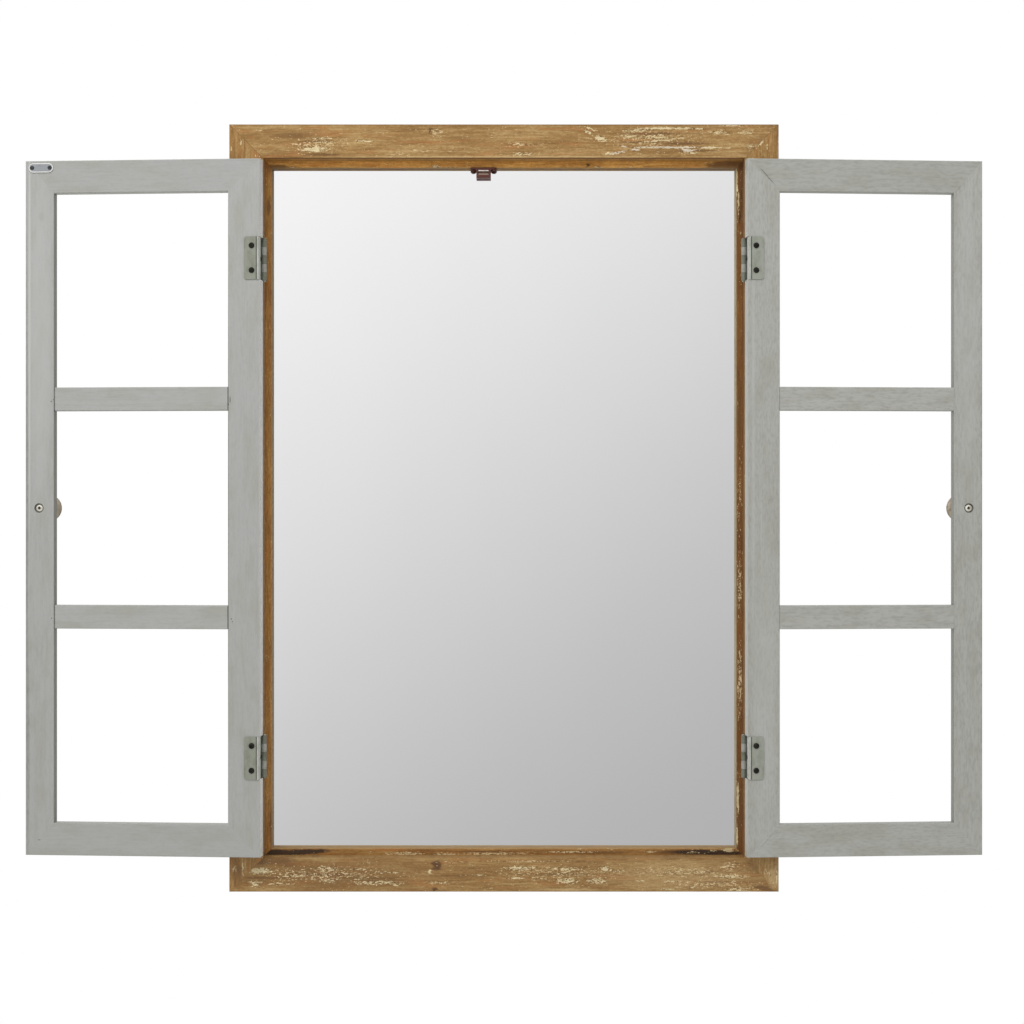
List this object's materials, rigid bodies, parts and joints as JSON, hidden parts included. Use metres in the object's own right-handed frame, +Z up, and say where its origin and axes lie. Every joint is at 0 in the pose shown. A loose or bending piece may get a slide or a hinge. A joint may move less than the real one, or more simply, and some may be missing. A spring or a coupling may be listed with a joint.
{
  "type": "shutter mirror",
  "caption": "Wall mirror in a deep mitred fir box frame, closed by two window-sash shutters on wrap hinges, with knobs and a magnetic catch.",
  "frame": {"origin": "middle of the top rail's back face, in the plane of the wall", "axes": "+X to the right seen from the front, +Y into the wall, +Z up"},
  "size_m": [1.0602, 0.062, 0.852],
  "materials": {
    "fir": "stained fir, brushed and distressed with cream paint",
    "fir_bead": "dark stained fir",
    "mirror": "polished silvered glass",
    "hardboard": "smooth hardboard",
    "zinc_steel": "zinc plated",
    "hinge_steel": "grey-green enamel",
    "black_steel": "black oxide",
    "brown_plastic": "moulded",
    "brown_screw": "brown lacquer",
    "magnet": "sintered",
    "bright_steel": "bright nickel",
    "grey_paint": "grey painted fir, grain showing",
    "beech": "plain beech",
    "bronze": "antique bronze, satin"
  },
  "bodies": {
    "frame": {"frame_top_rail": "fir", "frame_bottom_rail": "fir", "frame_left_stile": "fir", "frame_right_stile": "fir", "frame_corner_nails": "zinc_steel", "stop_bead_top": "fir_bead", "stop_bead_bottom": "fir_bead", "stop_bead_left": "fir_bead", "stop_bead_right": "fir_bead", "mirror_glass": "mirror", "backing_board": "hardboard", "glazing_points": "zinc_steel", "hanger_left": "zinc_steel", "hanger_right": "zinc_steel", "hanger_screws": "zinc_steel", "left_upper_frame_leaf": "hinge_steel", "left_lower_frame_leaf": "hinge_steel", "right_upper_frame_leaf": "hinge_steel", "right_lower_frame_leaf": "hinge_steel", "left_upper_hinge_pin": "zinc_steel", "left_lower_hinge_pin": "zinc_steel", "right_upper_hinge_pin": "zinc_steel", "right_lower_hinge_pin": "zinc_steel", "frame_leaf_screws": "black_steel", "catch_housing": "brown_plastic", "catch_magnet": "magnet", "catch_pole_plates": "bright_steel", "catch_screws": "brown_screw"},
    "left_shutter": {"left_hinge_stile": "grey_paint", "left_free_stile": "grey_paint", "left_top_rail": "grey_paint", "left_bottom_rail": "grey_paint", "left_upper_muntin": "grey_paint", "left_lower_muntin": "grey_paint", "left_dowels": "beech", "left_upper_door_leaf": "hinge_steel", "left_lower_door_leaf": "hinge_steel", "left_leaf_screws": "black_steel", "left_knob": "bronze", "left_knob_screw": "bright_steel", "strike_plate": "bright_steel", "strike_screws": "black_steel"},
    "right_shutter": {"right_hinge_stile": "grey_paint", "right_free_stile": "grey_paint", "right_top_rail": "grey_paint", "right_bottom_rail": "grey_paint", "right_upper_muntin": "grey_paint", "right_lower_muntin": "grey_paint", "right_dowels": "beech", "right_upper_door_leaf": "hinge_steel", "right_lower_door_leaf": "hinge_steel", "right_leaf_screws": "black_steel", "right_knob": "bronze", "right_knob_screw": "bright_steel"}
  },
  "joints": [
    {"name": "left_shutter_hinge", "type": "hinge", "parent": "frame", "child": "left_shutter", "pos_m": [-0.266, -0.041, -0.407], "axis": [0, 0, 1], "range_deg": [0, 184]},
    {"name": "right_shutter_hinge", "type": "hinge", "parent": "frame", "child": "right_shutter", "pos_m": [0.266, -0.041, -0.407], "axis": [0, 0, -1], "range_deg": [0, 184]}
  ]
}
